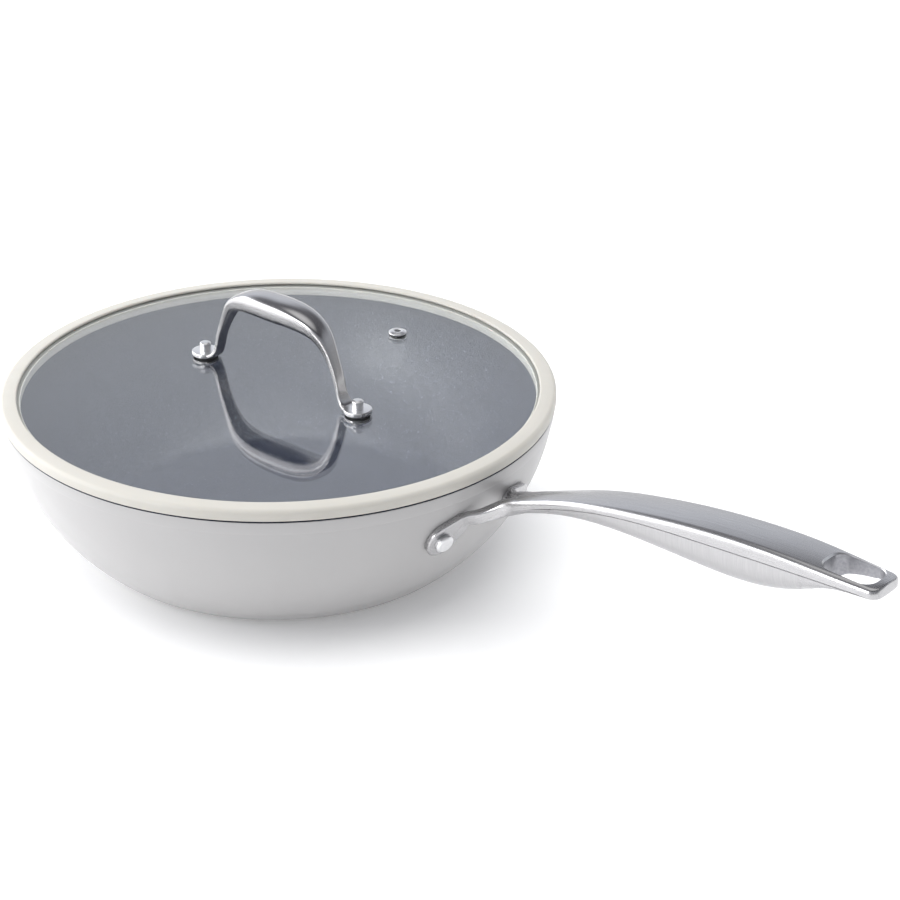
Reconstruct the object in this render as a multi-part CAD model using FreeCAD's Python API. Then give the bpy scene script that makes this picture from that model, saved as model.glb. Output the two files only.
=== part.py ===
import FreeCAD, Part
import math
import os

# Covered wok pan, millimetres. Origin at the centre of the base's underside, +Z up,
# +X along the long handle. The lid sits closed, with its arch in line with the handle.

# Pan bowl
rim_inner_radius = 140.0
rim_band_height = 7.5
rim_band_taper = 0.8
rim_band_step = 0.4
rim_round = 0.9
pan_height = 82.5
wall_thickness = 3.4
wall_arc_radius = 114.0
wall_top_angle = 9.5
base_corner_radius = 20.0
base_thickness = 5.0

# Steel induction plate pressed into the base
plate_margin = 5.0
plate_thickness = 2.0
plate_proud = 0.6
plate_gap = 0.1
plate_round = 0.4

# Lid: flat tempered glass held in a silicone rim
lid_gap = 0.3
rim_ring_width = 8.8
rim_ring_overhang = 0.4
rim_ring_lip_rise = 0.8
rim_ring_floor = 1.4
rim_ring_roof = 1.4
skirt_depth = 3.5
skirt_gap = 0.8
skirt_inner_inset = 1.6
glass_thickness = 4.0
glass_edge_round = 1.2
glass_grip = 5.2
glass_slot_gap = 0.1

# Lid arch handle
arch_foot_x = 55.5
arch_foot_radius = 7.4
arch_foot_thickness = 2.2
arch_height = 48.8
grip_width = 18.0
grip_depth = 13.0
leg_width = 6.8
leg_depth = 3.0

# Lid handle fixings, one set at each foot
gasket_thickness = 0.8
gasket_radius = 6.6
sleeve_wall = 1.3
sleeve_flange_radius = 6.6
sleeve_flange_thickness = 1.2
washer_radius = 6.0
washer_thickness = 1.0
lid_rivet_radius = 2.0
lid_rivet_head_radius = 3.0
lid_rivet_head_height = 4.8
lid_rivet_tail_radius = 3.8
lid_rivet_tail_height = 1.5
fit_gap = 0.1

# Steam vent
vent_x = 2.8
vent_y = 89.4
vent_bore_radius = 1.8
vent_tube_wall = 0.7
vent_flange_radius = 5.0
vent_flange_height = 1.5
vent_gasket_thickness = 0.5
vent_gasket_radius = 4.6
vent_ring_radius = 4.8
vent_ring_thickness = 1.0
vent_curl_radius = 3.8
vent_curl_height = 0.6
vent_glass_gap = 0.3

# Long handle. Stations: share of the length from neck to end, then four heights and widths:
# top line, seam line and underside are measured up from the pan's top edge.
handle_length = 210.0
handle_neck_reach = 13.4
handle_width = 26.0
handle_wall = 2.2
handle_edge_round = 3.2
handle_crown = 0.5
belly_front = 30.0
belly_rear = 38.0
belly_fullness = 0.86
cavity_front = 6.0
cavity_rear = 4.0
handle_stations = (
    # share, top, width share, seam, underside
    (0.000, -6.3, 0.65, -11.5, -15.7),
    (0.105, 2.1, 0.64, -3.1, -7.5),
    (0.224, 10.3, 0.785, 5.5, -1.9),
    (0.367, 17.0, 0.925, 11.9, -0.3),
    (0.557, 22.7, 0.985, 15.5, -1.5),
    (0.724, 25.0, 1.0, 17.5, 0.7),
    (0.819, 25.0, 0.985, 18.3, 7.3),
    (0.905, 24.3, 0.925, 18.6, 15.2),
    (0.965, 23.8, 0.865, 18.7, 17.2),
    (1.029, 23.2, 0.80, 18.7, 17.5),
)

# Hanging loop at the handle's end
loop_end_bar = 5.0
loop_hole_length = 26.0
loop_side_bar = 2.4
loop_hole_corner = 6.0
loop_end_corner = 6.5

# Fork that carries the handle on the bowl; drops are measured down from the pan's top edge
flange_gap = 0.15
flange_thickness = 3.0
flange_radius = 9.8
flange_y = 29.2
flange_drop = 25.3
flange_root_y = 15.0
flange_root_drop = 17.9
flange_root_radius = 6.8
leg_bar_width = 6.0
leg_bar_height = 6.8
leg_root_y = 14.0
leg_root_drop = 14.3
leg_root_reach = 1.6
leg_round = 1.7
leg_bend = math.radians(50)
leg_neck_height = 8.6
leg_neck_width = 7.0
leg_neck_y = 4.4

# Handle rivets
rivet_y = 30.0
rivet_drop = 25.7
rivet_shank_radius = 2.6
rivet_head_radius = 5.0
rivet_head_height = 3.3
rivet_head_sink = 0.05
rivet_head_round = 0.8
rivet_tail_radius = 5.5
rivet_tail_height = 2.0
rivet_tail_gap = 0.35
rivet_tail_round = 0.7

# Heights and radii that follow
band_bottom_z = pan_height - rim_band_height
wall_top_radius = rim_inner_radius + wall_thickness
band_bottom_radius = wall_top_radius + rim_band_step
rim_outer_radius = band_bottom_radius + rim_band_taper
base_floor_z = plate_proud + base_thickness
ring_bottom_z = pan_height + lid_gap
ring_outer_radius = rim_outer_radius + rim_ring_overhang
ring_inner_radius = ring_outer_radius - rim_ring_width
glass_bottom_z = ring_bottom_z + rim_ring_floor
glass_top_z = glass_bottom_z + glass_thickness
glass_radius = ring_inner_radius + glass_grip
ring_lip_z = glass_top_z + rim_ring_roof
foot_bottom_z = glass_top_z + gasket_thickness
foot_top_z = foot_bottom_z + arch_foot_thickness
under_glass_z = glass_bottom_z - sleeve_flange_thickness
neck_x = rim_outer_radius + handle_neck_reach
handle_end_x = neck_x + handle_length
belly_front_x = neck_x + belly_front
belly_rear_x = handle_end_x - belly_rear
flange_z = pan_height - flange_drop
flange_root_z = pan_height - flange_root_drop
leg_root_z = pan_height - leg_root_drop
rivet_z = pan_height - rivet_drop

past = 20.0

V = FreeCAD.Vector


def flat_xz(point):
    return V(point[0], 0, point[1])


def unit(vector):
    return vector.multiply(1.0 / vector.Length)


def rounded_wire(corners):
    """Closed wire through corner points, each given as (vector, round radius)."""
    edges = []
    ends = []
    count = len(corners)
    for index in range(count):
        point, radius = corners[index]
        before = corners[index - 1][0]
        after = corners[(index + 1) % count][0]
        to_before = unit(before.sub(point))
        to_after = unit(after.sub(point))
        if radius <= 0:
            ends.append((point, None, point))
            continue
        half = to_before.getAngle(to_after) / 2
        back = radius / math.tan(half)
        start = point.add(V(to_before).multiply(back))
        stop = point.add(V(to_after).multiply(back))
        inward = unit(to_before.add(to_after))
        middle = point.add(inward.multiply(radius / math.sin(half) - radius))
        ends.append((start, middle, stop))
    for index in range(count):
        start, middle, stop = ends[index]
        if middle is not None:
            edges.append(Part.Arc(start, middle, stop).toShape())
        following = ends[(index + 1) % count][0]
        if stop.distanceToPoint(following) > 1e-6:
            edges.append(Part.LineSegment(stop, following).toShape())
    return Part.Wire(edges)


def turned(corners, x=0.0, y=0.0):
    """Solid of revolution about a vertical axis, from (radius, z, round) corners."""
    wire = rounded_wire([(V(radius, 0, z), rounding) for radius, z, rounding in corners])
    solid = Part.Face(wire).revolve(V(0, 0, 0), V(0, 0, 1), 360)
    solid.translate(V(x, y, 0))
    return solid


def disc(x, y, z, radius, height):
    return Part.makeCylinder(radius, height, V(x, y, z))


def bowl_curve(top_radius, top_z, arc_radius, corner_radius, floor_z):
    """Arc down the wall and the tangent corner arc: their five points, top to floor."""
    start = math.radians(wall_top_angle)
    centre_r = top_radius - arc_radius * math.cos(start)
    centre_z = top_z + arc_radius * math.sin(start)
    reach = arc_radius - corner_radius
    finish = math.asin((centre_z - corner_radius - floor_z) / reach)
    corner_r = centre_r + reach * math.cos(finish)
    corner_z = floor_z + corner_radius

    def wall(angle):
        return (centre_r + arc_radius * math.cos(angle), centre_z - arc_radius * math.sin(angle))

    def corner(angle):
        return (corner_r + corner_radius * math.cos(angle), corner_z - corner_radius * math.sin(angle))

    return [wall(start), wall((start + finish) / 2), wall(finish),
            corner((finish + math.pi / 2) / 2), corner(math.pi / 2)]


def outer_curve(offset=0.0):
    return bowl_curve(wall_top_radius + offset, band_bottom_z,
                      wall_arc_radius + offset, base_corner_radius + offset, plate_proud - offset)


plate_radius = outer_curve()[4][0] - plate_margin


def inner_curve():
    return bowl_curve(rim_inner_radius, band_bottom_z,
                      wall_arc_radius - wall_thickness, base_corner_radius - wall_thickness,
                      base_floor_z)


def curve_edges(points):
    top, wall_middle, join, corner_middle, floor = [flat_xz(point) for point in points]
    return [Part.Arc(top, wall_middle, join).toShape(), Part.Arc(join, corner_middle, floor).toShape()]


def polyline(points):
    return [Part.LineSegment(flat_xz(a), flat_xz(b)).toShape() for a, b in zip(points, points[1:])]


def wall_point(z):
    """Radius of the bowl's outside at a height, and the slope of its outward normal."""
    start = math.radians(wall_top_angle)
    centre_r = wall_top_radius - wall_arc_radius * math.cos(start)
    centre_z = band_bottom_z + wall_arc_radius * math.sin(start)
    slope = math.asin((centre_z - z) / wall_arc_radius)
    return centre_r + wall_arc_radius * math.cos(slope), slope


def rivet_frame(side):
    """Point on the bowl's outside under a rivet, and the outward direction there."""
    radius, slope = wall_point(rivet_z)
    bearing = math.asin(side * rivet_y / radius)
    point = V(radius * math.cos(bearing), radius * math.sin(bearing), rivet_z)
    out = V(math.cos(slope) * math.cos(bearing), math.cos(slope) * math.sin(bearing), -math.sin(slope))
    return point, out


def along(point, direction, distance):
    return point.add(V(direction).multiply(distance))


def pan_shell():
    outside = outer_curve()
    inside = inner_curve()
    band_top = pan_height - rim_round
    edges = curve_edges(outside)
    edges += polyline([outside[4], (plate_radius + plate_gap, plate_proud),
                       (plate_radius + plate_gap, plate_thickness), (0, plate_thickness),
                       (0, base_floor_z), inside[4]])
    edges += curve_edges(inside)
    edges += polyline([inside[0], (rim_inner_radius, band_top)])
    edges.append(rim_corner(rim_inner_radius, 1))
    edges += polyline([(rim_inner_radius + rim_round, pan_height), (rim_outer_radius - rim_round, pan_height)])
    edges.append(rim_corner(rim_outer_radius, -1))
    edges += polyline([(rim_outer_radius, band_top), (band_bottom_radius, band_bottom_z), outside[0]])
    bowl = Part.Face(Part.Wire(Part.__sortEdges__(edges))).revolve(V(0, 0, 0), V(0, 0, 1), 360)
    for side in (-1, 1):
        point, out = rivet_frame(side)
        start = along(point, out, -past)
        bowl = bowl.cut(Part.makeCylinder(rivet_shank_radius + fit_gap, 2 * past, start, out))
    return bowl


def rim_corner(radius, inward):
    """Quarter round at the rim's top; inward is +1 on the inner side, -1 on the outer."""
    short = rim_round * (1 - math.sqrt(0.5))
    return Part.Arc(flat_xz((radius, pan_height - rim_round)),
                    flat_xz((radius + inward * short, pan_height - short)),
                    flat_xz((radius + inward * rim_round, pan_height))).toShape()


def induction_plate():
    return turned([(0, 0, 0), (plate_radius, 0, plate_round),
                   (plate_radius, plate_thickness, 0), (0, plate_thickness, 0)])


def station_curve(column, scale=1.0, base=0.0):
    """Smooth curve of one station value along X, as a function of x."""
    points = [V(neck_x + handle_length * row[0], 0, base + scale * row[column]) for row in handle_stations]
    curve = Part.BSplineCurve()
    curve.interpolate(points)
    low = curve.FirstParameter
    high = curve.LastParameter

    def value(x):
        left, right = low, high
        for _ in range(40):
            middle = (left + right) / 2
            if curve.value(middle).x < x:
                left = middle
            else:
                right = middle
        return curve.value(left).z

    return value


top_line = station_curve(1, base=pan_height)
half_width = station_curve(2, scale=handle_width / 2)
seam_line = station_curve(3, base=pan_height)
underside = station_curve(4, base=pan_height)
loop_hole_rear_x = handle_end_x - loop_end_bar
loop_hole_front_x = loop_hole_rear_x - loop_hole_length
loop_hole_half_width = half_width((loop_hole_front_x + loop_hole_rear_x) / 2) - loop_side_bar


def handle_section(x, inset=0.0):
    """Closed section: nearly flat top, straight sides down to the seam, rounded belly."""
    width = half_width(x) - inset
    top = top_line(x) - inset
    seam = seam_line(x)
    bottom = underside(x) + inset
    rounding = min(max(handle_edge_round - inset, 0.8), 0.6 * (top - seam))
    crown = handle_crown
    short = rounding * (1 - math.sqrt(0.5))
    edges = []
    for side in (-1, 1):
        low = V(x, side * width, seam)
        high = V(x, side * width, top - crown - rounding)
        bend = V(x, side * (width - short), top - crown - short)
        shoulder = V(x, side * (width - rounding), top - crown)
        edges.append([Part.LineSegment(low, high).toShape(), Part.Arc(high, bend, shoulder).toShape(),
                      low, shoulder])
    left, right = edges
    roof = Part.Arc(left[3], V(x, 0, top), right[3]).toShape()
    belly = []
    for step in range(9):
        turn = math.pi * step / 8
        depth = math.sin(turn) ** belly_fullness
        belly.append(V(x, width * math.cos(turn), seam - (seam - bottom) * depth))
    belly_curve = Part.BSplineCurve()
    belly_curve.interpolate(belly)
    return Part.Wire([left[0], left[1], roof, right[1], right[0], belly_curve.toShape()])


def handle_loft(start_x, end_x, inset=0.0):
    count = 10
    stations = [start_x + (end_x - start_x) * step / count for step in range(count + 1)]
    return Part.makeLoft([handle_section(x, inset) for x in stations], True)


def below_seam():
    """Everything under the seam line between the belly's two ends."""
    count = 12
    points = []
    for step in range(count + 1):
        x = belly_front_x + (belly_rear_x - belly_front_x) * step / count
        points.append(V(x, -handle_width, seam_line(x)))
    seam = Part.BSplineCurve()
    seam.interpolate(points)
    low = underside(belly_front_x) - past
    corner_rear = V(belly_rear_x, -handle_width, low)
    corner_front = V(belly_front_x, -handle_width, low)
    edges = [seam.toShape(), Part.LineSegment(points[-1], corner_rear).toShape(),
             Part.LineSegment(corner_rear, corner_front).toShape(),
             Part.LineSegment(corner_front, points[0]).toShape()]
    return Part.Face(Part.Wire(edges)).extrude(V(0, 2 * handle_width, 0))


def end_outline():
    """Plan outline that rounds the handle's end, as a tall block to keep."""
    half = half_width(handle_end_x)
    front = neck_x - 1
    points = [(V(front, -handle_width, 0), 0), (V(loop_hole_front_x, -handle_width, 0), 0),
              (V(handle_end_x, -half, 0), loop_end_corner), (V(handle_end_x, half, 0), loop_end_corner),
              (V(loop_hole_front_x, handle_width, 0), 0), (V(front, handle_width, 0), 0)]
    return Part.Face(rounded_wire(points)).extrude(V(0, 0, 2 * pan_height))


def loop_hole():
    half = loop_hole_half_width
    corners = ((loop_hole_front_x, -half), (loop_hole_rear_x, -half),
               (loop_hole_rear_x, half), (loop_hole_front_x, half))
    points = [(V(x, y, 0), loop_hole_corner) for x, y in corners]
    return Part.Face(rounded_wire(points)).extrude(V(0, 0, 2 * pan_height))


def flange(side):
    """Plate that lies on the bowl: a band of the wall's shape inside a two-circle outline."""
    inner = outer_curve(flange_gap)
    outer = outer_curve(flange_gap + flange_thickness)
    edges = [curve_edges(inner)[0], curve_edges(outer)[0]]
    edges += polyline([inner[0], outer[0]])
    edges += polyline([inner[2], outer[2]])
    band = Part.Face(Part.Wire(Part.__sortEdges__(edges))).revolve(V(0, 0, 0), V(0, 0, 1), 360)
    tongue = two_circles((side * flange_y, flange_z), flange_radius,
                         (side * flange_root_y, flange_root_z), flange_root_radius)
    return band.common(tongue)


def two_circles(first, first_radius, second, second_radius):
    """Block along +X whose outline wraps two circles given in the Y-Z plane."""
    depth = rim_outer_radius + past
    shapes = []
    for centre, radius in ((first, first_radius), (second, second_radius)):
        shapes.append(Part.makeCylinder(radius, depth, V(0, centre[0], centre[1]), V(1, 0, 0)))
    dy = second[0] - first[0]
    dz = second[1] - first[1]
    heading = math.atan2(dz, dy)
    spread = math.acos((first_radius - second_radius) / math.hypot(dy, dz))
    corners = []
    for centre, radius, turn in ((first, first_radius, spread), (second, second_radius, spread),
                                 (second, second_radius, -spread), (first, first_radius, -spread)):
        corners.append(V(0, centre[0] + radius * math.cos(heading + turn),
                         centre[1] + radius * math.sin(heading + turn)))
    web = Part.Face(Part.makePolygon(corners + corners[:1])).extrude(V(depth, 0, 0))
    return shapes[0].fuse(shapes[1]).fuse(web)


def bar_section(centre, heading, width, height, rounding):
    """Rounded rectangle square to a heading in plan, upright in Z."""
    across = V(-math.sin(heading), math.cos(heading), 0)
    points = []
    for a, b in ((-1, -1), (1, -1), (1, 1), (-1, 1)):
        point = centre.add(V(across).multiply(a * width / 2))
        points.append((point.add(V(0, 0, b * height / 2)), rounding))
    return rounded_wire(points)


def fork_leg(side):
    """Bar from the flange's root to the neck, bending in plan and rising."""
    root_r, _ = wall_point(leg_root_z)
    neck_mid = (top_line(neck_x) + underside(neck_x)) / 2
    root = V(root_r + leg_root_reach, side * leg_root_y, leg_root_z)
    neck = V(neck_x + 1, side * leg_neck_y, neck_mid)
    middle = V((root.x + neck.x) / 2 - 1, side * (leg_root_y * 0.55 + leg_neck_y * 0.45),
               (root.z + neck.z) / 2)
    lean = -side * leg_bend
    mid_height = (leg_bar_height + leg_neck_height) / 2
    sections = [bar_section(root, lean, leg_bar_width, leg_bar_height, leg_round),
                bar_section(middle, lean * 0.75, leg_bar_width, mid_height, leg_round),
                bar_section(neck, 0, leg_neck_width, leg_neck_height, leg_round)]
    return Part.makeLoft(sections, True)


def handle_pieces():
    body = handle_loft(neck_x, handle_end_x + 4).common(end_outline()).cut(loop_hole())
    cavity = handle_loft(belly_front_x + cavity_front, belly_rear_x - cavity_rear, handle_wall)
    lower = body.common(below_seam())
    belly = lower.cut(cavity)
    casting = body.cut(lower).cut(cavity)
    for side in (-1, 1):
        casting = casting.fuse(fork_leg(side))
    casting = casting.cut(bowl_clearance())
    for side in (-1, 1):
        casting = casting.fuse(flange(side))
    for side in (-1, 1):
        point, out = rivet_frame(side)
        casting = casting.cut(Part.makeCylinder(rivet_shank_radius + fit_gap, past, point, out))
    return casting.removeSplitter(), belly


def bowl_clearance():
    """Solid of the bowl's outside, a little larger, that nothing of the handle enters."""
    outside = outer_curve(flange_gap)
    edges = curve_edges(outside)
    edges += polyline([outside[4], (0, outside[4][1]), (0, band_bottom_z + past),
                       (outside[0][0], band_bottom_z + past), outside[0]])
    return Part.Face(Part.Wire(Part.__sortEdges__(edges))).revolve(V(0, 0, 0), V(0, 0, 1), 360)


def handle_rivet(side):
    point, out = rivet_frame(side)
    inside = wall_thickness + rivet_tail_gap
    outside = flange_gap + flange_thickness
    shank = Part.makeCylinder(rivet_shank_radius, inside + outside, along(point, out, -inside), out)
    head = Part.makeCylinder(rivet_head_radius, rivet_head_height,
                             along(point, out, outside - rivet_head_sink), out)
    head = head.makeFillet(rivet_head_round, [head.Edges[0]])
    tail = Part.makeCylinder(rivet_tail_radius, rivet_tail_height, along(point, out, -inside),
                             V(out).multiply(-1))
    tail = tail.makeFillet(rivet_tail_round, [tail.Edges[0]])
    return shank.fuse(head).fuse(tail).removeSplitter()


def foot_holes(solid, radius):
    for side in (-1, 1):
        solid = solid.cut(disc(side * arch_foot_x, 0, glass_bottom_z - past, radius, 2 * past))
    return solid


def lid_glass():
    glass = turned([(0, glass_bottom_z, 0), (glass_radius, glass_bottom_z, glass_edge_round),
                    (glass_radius, glass_top_z, glass_edge_round), (0, glass_top_z, 0)])
    glass = foot_holes(glass, lid_rivet_radius + fit_gap + sleeve_wall + fit_gap)
    vent_radius = vent_bore_radius + vent_tube_wall + vent_glass_gap
    return glass.cut(disc(vent_x, vent_y, glass_bottom_z - past, vent_radius, 2 * past))


def lid_rim():
    top = ring_lip_z - rim_ring_lip_rise
    skirt_outer = rim_inner_radius - skirt_gap
    skirt_inner = ring_inner_radius - skirt_inner_inset
    bottom = ring_bottom_z - skirt_depth
    slot_radius = glass_radius + glass_slot_gap
    return turned([(ring_outer_radius, ring_bottom_z, 0.8), (ring_outer_radius, top, 2.4),
                   (ring_inner_radius, ring_lip_z, 0.9), (ring_inner_radius, glass_top_z, 0),
                   (slot_radius, glass_top_z, 0), (slot_radius, glass_bottom_z, 0),
                   (skirt_inner, glass_bottom_z, 0.4), (skirt_inner, bottom, 0.7),
                   (skirt_outer - 1.0, bottom, 0.7), (skirt_outer, bottom + 2.2, 0.8),
                   (skirt_outer, ring_bottom_z, 0)])


def oval(centre, tangent, width, depth):
    """Closed smooth section square to the arch's path: rounder above, flatter below."""
    outward = V(-tangent.z, 0, tangent.x)
    points = []
    count = 20
    for step in range(count):
        turn = 2 * math.pi * step / count
        sine = math.sin(turn)
        power = 2 / 2.3 if sine > 0 else 2 / 4.3
        flat = math.copysign(abs(math.cos(turn)) ** power, math.cos(turn))
        rise = math.copysign(abs(sine) ** power, sine)
        point = centre.add(V(0, flat * width / 2, 0)).add(V(outward).multiply(rise * depth / 2))
        points.append(point)
    curve = Part.BSplineCurve()
    curve.interpolate(points, True)
    return Part.Wire([curve.toShape()])


def lid_handle():
    """Arch with flat round feet: half stations are mirrored about the middle."""
    foot_z = foot_bottom_z + arch_foot_thickness / 2
    crest = glass_top_z + arch_height - grip_depth / 2
    rise = crest - foot_z
    half = [(arch_foot_x - 3.0, 0.0, 12.0, arch_foot_thickness),
            (arch_foot_x - 7.2, 0.012, 9.0, 2.3),
            (arch_foot_x - 9.9, 0.09, 7.2, 2.6),
            (arch_foot_x - 12.8, 0.31, leg_width, leg_depth),
            (arch_foot_x - 17.6, 0.60, leg_width + 0.8, leg_depth + 1.2),
            (arch_foot_x - 24.5, 0.845, 11.5, 6.6),
            (arch_foot_x - 35.0, 0.965, 15.5, 10.4)]
    rows = half + [(0.0, 1.0, grip_width, grip_depth)]
    rows += [(-x, share, width, depth) for x, share, width, depth in reversed(half)]
    path = Part.BSplineCurve()
    path.interpolate([V(x, 0, foot_z + rise * share) for x, share, _, _ in rows])
    sections = []
    for x, share, width, depth in rows:
        centre = V(x, 0, foot_z + rise * share)
        tangent = V(path.tangent(path.parameter(centre))[0])
        if abs(x) > arch_foot_x - 4:
            tangent = V(-1, 0, 0)
        tangent = tangent.multiply(-1)
        sections.append(oval(centre, tangent, width, depth))
    below_feet = Part.makeBox(4 * arch_foot_x, 2 * past, past,
                              V(-2 * arch_foot_x, -past, foot_bottom_z - past))
    arch = Part.makeLoft(sections, True).cut(below_feet)
    for side in (-1, 1):
        foot = turned([(0, foot_bottom_z, 0), (arch_foot_radius, foot_bottom_z, 0.5),
                       (arch_foot_radius, foot_top_z, 0.7), (0, foot_top_z, 0)], side * arch_foot_x)
        arch = arch.fuse(foot)
    return foot_holes(arch, lid_rivet_radius + fit_gap)


def foot_gasket(x):
    hole = lid_rivet_radius + fit_gap
    return turned([(hole, glass_top_z, 0), (gasket_radius, glass_top_z, 0.25),
                   (gasket_radius, foot_bottom_z, 0.25), (hole, foot_bottom_z, 0)], x)


def foot_sleeve(x):
    """Soft flanged sleeve: its tube lines the hole in the glass, its flange sits below."""
    hole = lid_rivet_radius + fit_gap
    tube = hole + sleeve_wall
    return turned([(hole, under_glass_z, 0), (sleeve_flange_radius, under_glass_z, 0.4),
                   (sleeve_flange_radius, glass_bottom_z, 0), (tube, glass_bottom_z, 0),
                   (tube, glass_top_z, 0), (hole, glass_top_z, 0)], x)


def foot_washer(x):
    hole = lid_rivet_radius + fit_gap
    low = under_glass_z - washer_thickness
    return turned([(hole, low, 0), (washer_radius, low, 0.3), (washer_radius, under_glass_z, 0.2),
                   (hole, under_glass_z, 0)], x)


def lid_rivet(x):
    low = under_glass_z - washer_thickness
    top = foot_top_z + lid_rivet_head_height
    return turned([(0, low - lid_rivet_tail_height, 0), (lid_rivet_tail_radius, low - lid_rivet_tail_height, 0.7),
                   (lid_rivet_tail_radius, low, 0), (lid_rivet_radius, low, 0),
                   (lid_rivet_radius, foot_top_z, 0), (lid_rivet_head_radius, foot_top_z, 0),
                   (lid_rivet_head_radius, top, 0.9), (0, top, 0)], x)


def vent_ferrule():
    tube = vent_bore_radius + vent_tube_wall
    seat = glass_top_z + vent_gasket_thickness
    low = glass_bottom_z - vent_ring_thickness
    bottom = low - vent_curl_height
    return turned([(vent_bore_radius, bottom, 0.25), (vent_curl_radius, bottom, 0.25),
                   (vent_curl_radius, low, 0), (tube, low, 0), (tube, seat, 0),
                   (vent_flange_radius, seat, 0.3), (vent_flange_radius, seat + vent_flange_height * 0.6, 0.4),
                   (vent_flange_radius * 0.6, seat + vent_flange_height, 0.6),
                   (vent_bore_radius, seat + vent_flange_height, 0.3)], vent_x, vent_y)


def vent_gasket():
    hole = vent_bore_radius + vent_tube_wall + fit_gap
    seat = glass_top_z + vent_gasket_thickness
    return turned([(hole, glass_top_z, 0), (vent_gasket_radius, glass_top_z, 0.15),
                   (vent_gasket_radius, seat, 0.15), (hole, seat, 0)], vent_x, vent_y)


def vent_ring():
    hole = vent_bore_radius + vent_tube_wall + fit_gap
    low = glass_bottom_z - vent_ring_thickness
    return turned([(hole, low, 0), (vent_ring_radius, low, 0.3), (vent_ring_radius, glass_bottom_z, 0.2),
                   (hole, glass_bottom_z, 0)], vent_x, vent_y)


def build():
    casting, belly = handle_pieces()
    parts = {
        "pan_shell": pan_shell(),
        "induction_plate": induction_plate(),
        "handle_casting": casting,
        "handle_belly_shell": belly,
        "lid_glass": lid_glass(),
        "lid_silicone_rim": lid_rim(),
        "lid_handle": lid_handle(),
        "vent_ferrule": vent_ferrule(),
        "vent_gasket": vent_gasket(),
        "vent_backing_ring": vent_ring(),
    }
    for name, side in (("right", -1), ("left", 1)):
        parts["handle_rivet_" + name] = handle_rivet(side)
    for name, x in (("front", arch_foot_x), ("rear", -arch_foot_x)):
        parts["lid_gasket_" + name] = foot_gasket(x)
        parts["lid_sleeve_" + name] = foot_sleeve(x)
        parts["lid_washer_" + name] = foot_washer(x)
        parts["lid_rivet_" + name] = lid_rivet(x)
    return parts


os.makedirs("parts", exist_ok=True)
for node, shape in build().items():
    shape.exportStep("parts/" + node + ".step")
    box = shape.BoundBox
    print(node, len(shape.Solids), shape.isValid(), round(shape.Volume),
          [round(value, 1) for value in (box.XMin, box.XMax, box.YMin, box.YMax, box.ZMin, box.ZMax)])
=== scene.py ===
import math

import bmesh
import bpy
import numpy as np
from mathutils import Matrix, Vector


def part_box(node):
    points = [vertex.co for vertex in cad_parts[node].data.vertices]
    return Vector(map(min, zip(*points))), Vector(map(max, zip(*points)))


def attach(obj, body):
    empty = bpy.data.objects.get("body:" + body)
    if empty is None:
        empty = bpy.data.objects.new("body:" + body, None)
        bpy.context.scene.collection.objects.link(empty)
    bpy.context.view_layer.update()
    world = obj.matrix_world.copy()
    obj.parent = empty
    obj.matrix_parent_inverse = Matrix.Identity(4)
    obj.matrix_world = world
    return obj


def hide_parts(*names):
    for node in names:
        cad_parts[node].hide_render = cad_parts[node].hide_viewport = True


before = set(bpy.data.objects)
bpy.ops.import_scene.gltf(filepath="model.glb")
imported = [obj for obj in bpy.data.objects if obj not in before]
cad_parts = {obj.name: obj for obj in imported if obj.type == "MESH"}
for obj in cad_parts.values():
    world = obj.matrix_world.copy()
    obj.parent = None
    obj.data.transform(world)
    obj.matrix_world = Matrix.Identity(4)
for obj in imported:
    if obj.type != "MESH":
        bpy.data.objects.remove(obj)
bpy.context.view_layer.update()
print("frame loaded")

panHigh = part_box("pan_shell")[1]
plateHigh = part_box("induction_plate")[1]
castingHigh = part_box("handle_casting")[1]
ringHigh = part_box("lid_silicone_rim")[1]
glassLow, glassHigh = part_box("lid_glass")
archLow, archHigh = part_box("lid_handle")
ventLow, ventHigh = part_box("vent_ferrule")


# mesh helpers

meshing = {"weld": 1e-7, "sliver": 2e-6, "cornerSteps": 5}


def newMesh(name, bm, finishes):
    bmesh.ops.recalc_face_normals(bm, faces=bm.faces)
    mesh = bpy.data.meshes.new(name)
    bm.to_mesh(mesh)
    bm.free()
    piece = bpy.data.objects.new(name, mesh)
    bpy.context.scene.collection.objects.link(piece)
    for finish in finishes:
        mesh.materials.append(finish)
    return piece


def place(piece, body, slotName, *nodes, crease=32):
    piece.data.shade_smooth()
    piece.data.set_sharp_from_angle(angle=math.radians(crease))
    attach(piece, body)
    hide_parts(*nodes)
    return piece


def layGrain(piece, follow):
    # a vector on every point that follows the metal's strokes: along them, then across and above
    grain = piece.data.attributes.new("grain", "FLOAT_VECTOR", "POINT")
    for index, spot in enumerate(piece.data.vertices):
        grain.data[index].vector = follow(spot.co)


def bakeModifiers(piece):
    # keep what the modifiers made as the piece's own mesh
    graph = bpy.context.evaluated_depsgraph_get()
    made = bpy.data.meshes.new_from_object(piece.evaluated_get(graph))
    old = piece.data
    piece.modifiers.clear()
    piece.data = made
    bpy.data.meshes.remove(old)


def combine(piece, tool, operation):
    step = piece.modifiers.new(operation, "BOOLEAN")
    step.operation = operation
    step.solver = "EXACT"
    step.object = tool
    bakeModifiers(piece)
    bpy.data.objects.remove(tool)


def dropSlivers(piece):
    # the cuts and unions leave a few hair-thin faces
    bm = bmesh.new()
    bm.from_mesh(piece.data)
    bmesh.ops.remove_doubles(bm, verts=bm.verts, dist=meshing["sliver"])
    bmesh.ops.dissolve_degenerate(bm, edges=bm.edges, dist=meshing["sliver"])
    bmesh.ops.triangulate(bm, faces=[face for face in bm.faces if len(face.verts) > 4])
    bmesh.ops.dissolve_degenerate(bm, edges=bm.edges, dist=meshing["sliver"])
    bm.to_mesh(piece.data)
    bm.free()


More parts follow.
